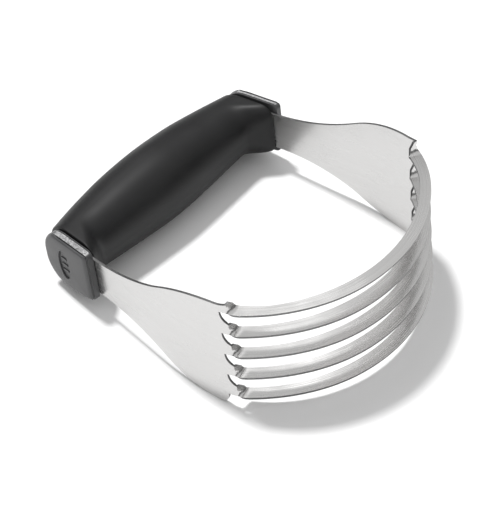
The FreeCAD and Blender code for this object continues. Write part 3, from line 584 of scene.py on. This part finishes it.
def grip_mesh():
    """Tube of rubber: outer skin, rounded at both ends, and the bore that the core fills."""
    shell = bmesh.new()
    edge = GRIP_EDGE / grip_end(STATION_X)
    loops = [[(x, -grip_end(x), z) for x, z in outline(*CORE_SHAPE)]]
    roundings = [math.radians(angle) for angle in GRIP_EDGE_ANGLES]
    for turn in roundings:
        loops.append(grip_loop(-1 + edge * (1 - math.sin(turn)), GRIP_EDGE * (1 - math.cos(turn))))
    for step in range(GRIP_LOOPS + 1):
        loops.append(grip_loop((1 - edge) * (2 * step / GRIP_LOOPS - 1)))
    for turn in reversed(roundings):
        loops.append(grip_loop(1 - edge * (1 - math.sin(turn)), GRIP_EDGE * (1 - math.cos(turn))))
    loops.append([(x, grip_end(x), z) for x, z in outline(*CORE_SHAPE)])
    skin_loops(shell, loops, wrap=True)
    bmesh.ops.recalc_face_normals(shell, faces=shell.faces)
    mesh = bpy.data.meshes.new("grip_rubber")
    shell.to_mesh(mesh)
    shell.free()
    return mesh


grip = new_piece("grip_rubber", grip_mesh(), ["grip_sleeve"], [RUBBER])
soften_edges(grip, GRIP_BEVEL, 60)

CAP_SHAPE = (-25.5, 0.9, 12.2, 10.5, 2.5)
CAP_DEPTH, CAP_RIM, CAP_DOME, CAP_BACK_EDGE, CAP_BEVEL = 4.2, 1.5, 0.25, 0.2, 0.00006
RIM_ANGLES, DOME_SHARES = range(30, 91, 15), (0.33, 0.66)

# Only the flat top and bottom are cut: the cut fades in between those distances from the full
# height, and the stipple covers what lies within STIPPLE_REACH of it.
FLAT_FADE_START, FLAT_FADE_END, STIPPLE_REACH = 0.9, 0.1, 0.5
FACET_START, FACET_END, FACET_SLOPE, GROOVE = 0.8, 2.55, 0.75, 0.5
# One groove lies just before the facet: its mouth and its floor, back from the facet's start.
# The other lies just after it: the floor's two corners, past the facet's end, and their insets.
GROOVE_MOUTH, GROOVE_FLOOR = 0.25, (0.15, 0.05)
RIM_GROOVE_FLOOR = ((0.08, 0.2), (0.3, 0.3))

# Towards the blades the lower corner rises and the rim is chamfered, from those places on.
HEEL_LIFT, HEEL_START = 1.0, -12
BLADE_CHAMFER, CHAMFER_START = 1.0, -3

OVAL_X, OVAL_HALF_WIDTH, OVAL_HALF_HEIGHT, OVAL_DEPTH = -13.4, 3.0, 7.0, 0.6
OVAL_EDGE, OVAL_DRAFT = 0.12, 0.05
BAR_HALF_LENGTH, BAR_HALF_WIDTH, BAR_SPACING, BAR_HEIGHT = 1.6, 0.45, 2.9, 0.35
# Depth that a bar is sunk into the floor, and of its top edge; insets of its sides and its top.
BAR_EDGE, BAR_DRAFT, BAR_TOP_INSET = 0.1, 0.04, 0.14


def on_cap(u, depth, z, side):
    """From the cap's own axes to the tool frame; side is 1 on the right and -1 on the left."""
    x = u * math.cos(SPLAY) - depth * math.sin(SPLAY)
    y = TAB_Y + u * math.sin(SPLAY) + depth * math.cos(SPLAY)
    return x, side * y, z


def cap_loop(depth, inset, cut, side):
    """Loop round the cap; cut brings in its flat top and bottom between the corners."""
    half_height = CAP_SHAPE[2] - inset
    points = []
    for u, z in inset_outline(CAP_SHAPE, inset):
        flat = smooth_step(half_height - FLAT_FADE_START, half_height - FLAT_FADE_END, abs(z))
        heel = HEEL_LIFT * smooth_step(HEEL_START, 0, u) * smooth_step(0, half_height, -z)
        chamfer = BLADE_CHAMFER * smooth_step(CHAMFER_START, 0, u) * inset / CAP_RIM
        points.append(on_cap(u - chamfer, depth, z - math.copysign(cut * flat, z) + heel, side))
    return points


def oval_loop(depth, inset, side):
    """Loop round the recess, with one point for each point of the cap's outline."""
    points = []
    for u, z in outline(*CAP_SHAPE):
        angle = math.atan2(z / OVAL_HALF_HEIGHT, (u - OVAL_X) / OVAL_HALF_WIDTH)
        points.append(on_cap(OVAL_X + (OVAL_HALF_WIDTH - inset) * math.cos(angle), depth,
                             (OVAL_HALF_HEIGHT - inset) * math.sin(angle), side))
    return points


def cap_mesh(name, side):
    """Cap from its back, round the grooved edge and the rim, over the face and into the recess."""
    shell = bmesh.new()
    rim_depth = CAP_DEPTH - CAP_DOME - CAP_RIM
    facet_start = (FACET_START, 0.0, 0.0)
    # each loop of the side: its depth, its inset, and how far its flat top and bottom are cut
    profile = [(0.0, CAP_BACK_EDGE, 0.0), (CAP_BACK_EDGE, 0.0, 0.0), (FACET_START - GROOVE_MOUTH, 0.0, 0.0)]
    profile += [(FACET_START - back, 0.0, GROOVE) for back in GROOVE_FLOOR]
    profile += [facet_start, (FACET_END, 0.0, FACET_SLOPE)]
    profile += [(FACET_END + past, inset, FACET_SLOPE + GROOVE) for past, inset in RIM_GROOVE_FLOOR]
    for angle in RIM_ANGLES:
        turn = math.radians(angle)
        profile.append((rim_depth + CAP_RIM * math.sin(turn), CAP_RIM * (1 - math.cos(turn)),
                        FACET_SLOPE * math.cos(turn)))
    loops = [cap_loop(depth, inset, cut, side) for depth, inset, cut in profile]
    face_edge = cap_loop(CAP_DEPTH - CAP_DOME, CAP_RIM, 0, side)
    oval_edge = oval_loop(CAP_DEPTH, -OVAL_EDGE, side)
    for share in DOME_SHARES:
        rise = (CAP_DOME * (1 - (1 - share) ** 2) - CAP_DOME * share) * math.cos(SPLAY)
        dome = []
        for rim, oval in zip(face_edge, oval_edge):
            x, y, z = (mix(here, there, share) for here, there in zip(rim, oval))
            dome.append((x, y + side * rise, z))
        loops.append(dome)
    loops += [oval_edge, oval_loop(CAP_DEPTH - OVAL_EDGE, 0.0, side)]
    loops.append(oval_loop(CAP_DEPTH - OVAL_DEPTH, OVAL_DRAFT, side))
    verts, rows = skin_loops(shell, loops)
    shell.faces.new(verts[0])
    shell.faces.new(verts[-1])
    for face, (_, z) in zip(rows[profile.index(facet_start)], outline(*CAP_SHAPE)):
        if abs(z) > CAP_SHAPE[2] - STIPPLE_REACH:
            face.material_index = 1
    for step in (-1, 0, 1):
        add_bar(shell, step * BAR_SPACING, side)
    bmesh.ops.recalc_face_normals(shell, faces=shell.faces)
    mesh = bpy.data.meshes.new(name)
    shell.to_mesh(mesh)
    shell.free()
    return mesh


def add_bar(shell, level, side):
    """A plain raised bar on the floor of the recess, with sloping sides."""
    floor_depth = CAP_DEPTH - OVAL_DEPTH
    top_depth = floor_depth + BAR_HEIGHT
    profile = ((floor_depth - BAR_EDGE, 0.0), (top_depth - BAR_EDGE, BAR_DRAFT), (top_depth, BAR_TOP_INSET))
    rings = []
    for depth, inset in profile:
        length, width = BAR_HALF_LENGTH - inset, BAR_HALF_WIDTH - inset
        corners = ((length, width), (-length, width), (-length, -width), (length, -width))
        rings.append([on_cap(OVAL_X + u, depth, level + z, side) for u, z in corners])
    verts, _ = skin_loops(shell, rings)
    shell.faces.new(verts[0])
    shell.faces.new(verts[-1])


for cap_name, cad_name, cap_side in (("cap_right", "end_cap_right", 1), ("cap_left", "end_cap_left", -1)):
    cap = new_piece(cap_name, cap_mesh(cap_name, cap_side), [cad_name], [CAP, STIPPLE])
    soften_edges(cap, CAP_BEVEL, 35, 1)

# ---------------------------------------------------------------- studio

FLOOR_HALF = 2.0
floor_mesh = bpy.data.meshes.new("floor")
floor_corners = [(x * FLOOR_HALF, y * FLOOR_HALF, 0) for x, y in ((-1, -1), (1, -1), (1, 1), (-1, 1))]
floor_mesh.from_pydata(floor_corners, [], [(0, 1, 2, 3)])
floor = bpy.data.objects.new("floor", floor_mesh)
scene.collection.objects.link(floor)
floor_mesh.materials.append(Nodes("floor_paint", (0.9, 0.9, 0.9), 0.95).material)

SUN_STRENGTH, SUN_WIDTH = 2.6, math.radians(7)
SUN_TRAVEL, SUN_ELEVATION = math.radians(-5.0), math.radians(67.7)
sun_data = bpy.data.lights.new("sun", "SUN")
sun_data.energy = SUN_STRENGTH
sun_data.angle = SUN_WIDTH
sun = bpy.data.objects.new("sun", sun_data)
scene.collection.objects.link(sun)
sun_way = Vector((math.cos(SUN_TRAVEL) * math.cos(SUN_ELEVATION),
                  math.sin(SUN_TRAVEL) * math.cos(SUN_ELEVATION), -math.sin(SUN_ELEVATION)))
sun.rotation_mode = "QUATERNION"
sun.rotation_quaternion = sun_way.to_track_quat("-Z", "Y")

# Sky light fades towards the horizon: sine of the elevation where it is dimmest and brightest
# (From), and its strength there (To).
SKY_GRADIENT = {"From Min": 0.30, "From Max": 0.65, "To Min": 0.15, "To Max": 0.76}
world = bpy.data.worlds.new("studio")
world.use_nodes = True
sky = world.node_tree.nodes["Background"]
sky.inputs["Color"].default_value = (1, 1, 1, 1)
heading = world.node_tree.nodes.new("ShaderNodeTexCoord")
parts = world.node_tree.nodes.new("ShaderNodeSeparateXYZ")
height = world.node_tree.nodes.new("ShaderNodeMapRange")
height.interpolation_type = "SMOOTHSTEP"
for socket, value in SKY_GRADIENT.items():
    height.inputs[socket].default_value = value
world.node_tree.links.new(heading.outputs["Generated"], parts.inputs["Vector"])
world.node_tree.links.new(parts.outputs["Z"], height.inputs["Value"])
world.node_tree.links.new(height.outputs["Result"], sky.inputs["Strength"])
scene.world = world
scene.view_settings.view_transform = "Standard"

AZIMUTH, ELEVATION, DISTANCE = math.radians(40.642), math.radians(46.915), 0.6892
TARGET = Vector((3.736, -8.859, 17.437)) * MM
FOCAL_LENGTH, SENSOR_WIDTH, NEAREST = 128.18, 36, 0.01
back = Vector((math.sin(AZIMUTH) * math.cos(ELEVATION), -math.cos(AZIMUTH) * math.cos(ELEVATION),
               math.sin(ELEVATION)))
camera_data = bpy.data.cameras.new("camera")
camera_data.lens = FOCAL_LENGTH
camera_data.sensor_width = SENSOR_WIDTH
camera_data.clip_start = NEAREST
camera = bpy.data.objects.new("camera", camera_data)
scene.collection.objects.link(camera)
camera.location = TARGET + back * DISTANCE
camera.rotation_mode = "QUATERNION"
camera.rotation_quaternion = (-back).to_track_quat("-Z", "Y")
scene.camera = camera
